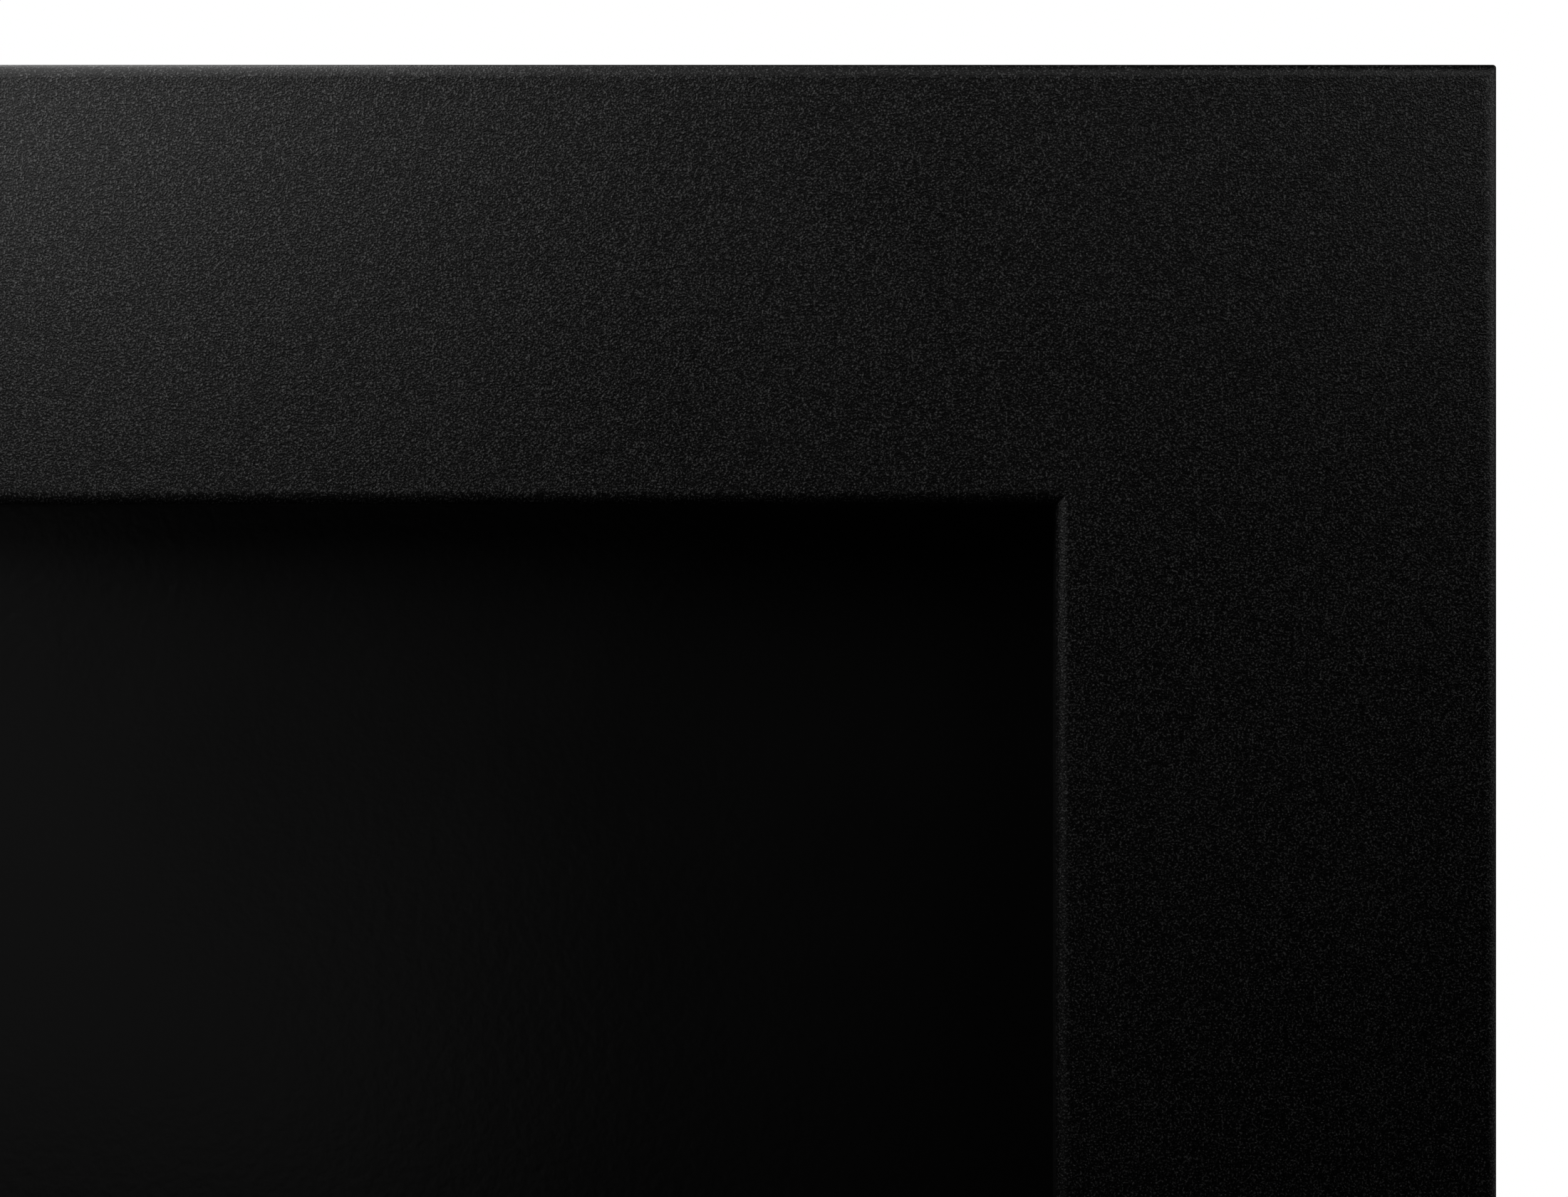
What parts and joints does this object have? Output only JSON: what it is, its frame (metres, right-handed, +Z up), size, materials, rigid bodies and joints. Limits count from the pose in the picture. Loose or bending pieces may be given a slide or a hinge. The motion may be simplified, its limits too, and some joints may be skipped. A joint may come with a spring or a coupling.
{
  "type": "fireplace screen",
  "caption": "Free-standing fireplace screen: a wide folded sheet-steel frame round a panel set back behind it, on flat bar feet with levelling glides, with swinging lift bails behind.",
  "frame": {"origin": "on the floor, midway between the feet and midway through the frame's depth", "axes": "+Z up, the front faces -Y, +X to the right seen from the front"},
  "size_m": [0.99, 0.28, 0.7579],
  "materials": {
    "powder_coat": "fine-textured matt black powder coat on mild steel",
    "panel_coat": "smooth matt black heat-resistant coat on mild steel",
    "fibre_tape": "woven glass-fibre tape, dark grey",
    "black_fasteners": "black oxide",
    "zinc_plate": "bright zinc plate",
    "bail_wire": "satin black wire",
    "pad_rubber": "matt"
  },
  "bodies": {
    "screen": {"front_frame": "powder_coat", "back_panel": "panel_coat", "seal_tape": "fibre_tape", "panel_screw_01": "black_fasteners", "panel_nut_01": "zinc_plate", "panel_screw_02": "black_fasteners", "panel_nut_02": "zinc_plate", "panel_screw_03": "black_fasteners", "panel_nut_03": "zinc_plate", "panel_screw_04": "black_fasteners", "panel_nut_04": "zinc_plate", "panel_screw_05": "black_fasteners", "panel_nut_05": "zinc_plate", "panel_screw_06": "black_fasteners", "panel_nut_06": "zinc_plate", "panel_screw_07": "black_fasteners", "panel_nut_07": "zinc_plate", "panel_screw_08": "black_fasteners", "panel_nut_08": "zinc_plate", "panel_screw_09": "black_fasteners", "panel_nut_09": "zinc_plate", "panel_screw_10": "black_fasteners", "panel_nut_10": "zinc_plate", "foot_bar_left": "powder_coat", "foot_upright_left": "powder_coat", "bail_bracket_left": "powder_coat", "foot_bolt_left_1": "black_fasteners", "upright_screw_left_1": "black_fasteners", "upright_nut_left_1": "zinc_plate", "bail_rivet_left_1": "black_fasteners", "foot_bolt_left_2": "black_fasteners", "upright_screw_left_2": "black_fasteners", "upright_nut_left_2": "zinc_plate", "bail_rivet_left_2": "black_fasteners", "foot_bar_right": "powder_coat", "foot_upright_right": "powder_coat", "bail_bracket_right": "powder_coat", "foot_bolt_right_1": "black_fasteners", "upright_screw_right_1": "black_fasteners", "upright_nut_right_1": "zinc_plate", "bail_rivet_right_1": "black_fasteners", "foot_bolt_right_2": "black_fasteners", "upright_screw_right_2": "black_fasteners", "upright_nut_right_2": "zinc_plate", "bail_rivet_right_2": "black_fasteners"},
    "glide_front_left": {"glide_stud_front_left": "zinc_plate", "glide_pad_front_left": "pad_rubber"},
    "glide_front_right": {"glide_stud_front_right": "zinc_plate", "glide_pad_front_right": "pad_rubber"},
    "glide_rear_left": {"glide_stud_rear_left": "zinc_plate", "glide_pad_rear_left": "pad_rubber"},
    "glide_rear_right": {"glide_stud_rear_right": "zinc_plate", "glide_pad_rear_right": "pad_rubber"},
    "bail_left": {"lift_bail_left": "bail_wire"},
    "bail_right": {"lift_bail_right": "bail_wire"}
  },
  "joints": [
    {"name": "bail_left_swing", "type": "hinge", "parent": "screen", "child": "bail_left", "pos_m": [-0.2475, 0.0205, 0.7359], "axis": [1, 0, 0], "range_deg": [-2, 180]},
    {"name": "bail_right_swing", "type": "hinge", "parent": "screen", "child": "bail_right", "pos_m": [0.2475, 0.0205, 0.7359], "axis": [1, 0, 0], "range_deg": [-2, 180]},
    {"name": "glide_front_left_wind", "type": "slide", "parent": "screen", "child": "glide_front_left", "axis": [0, 0, -1], "range_m": [0, 0.005]},
    {"name": "glide_front_right_wind", "type": "slide", "parent": "screen", "child": "glide_front_right", "axis": [0, 0, -1], "range_m": [0, 0.005]},
    {"name": "glide_rear_left_wind", "type": "slide", "parent": "screen", "child": "glide_rear_left", "axis": [0, 0, -1], "range_m": [0, 0.005]},
    {"name": "glide_rear_right_wind", "type": "slide", "parent": "screen", "child": "glide_rear_right", "axis": [0, 0, -1], "range_m": [0, 0.005]}
  ]
}
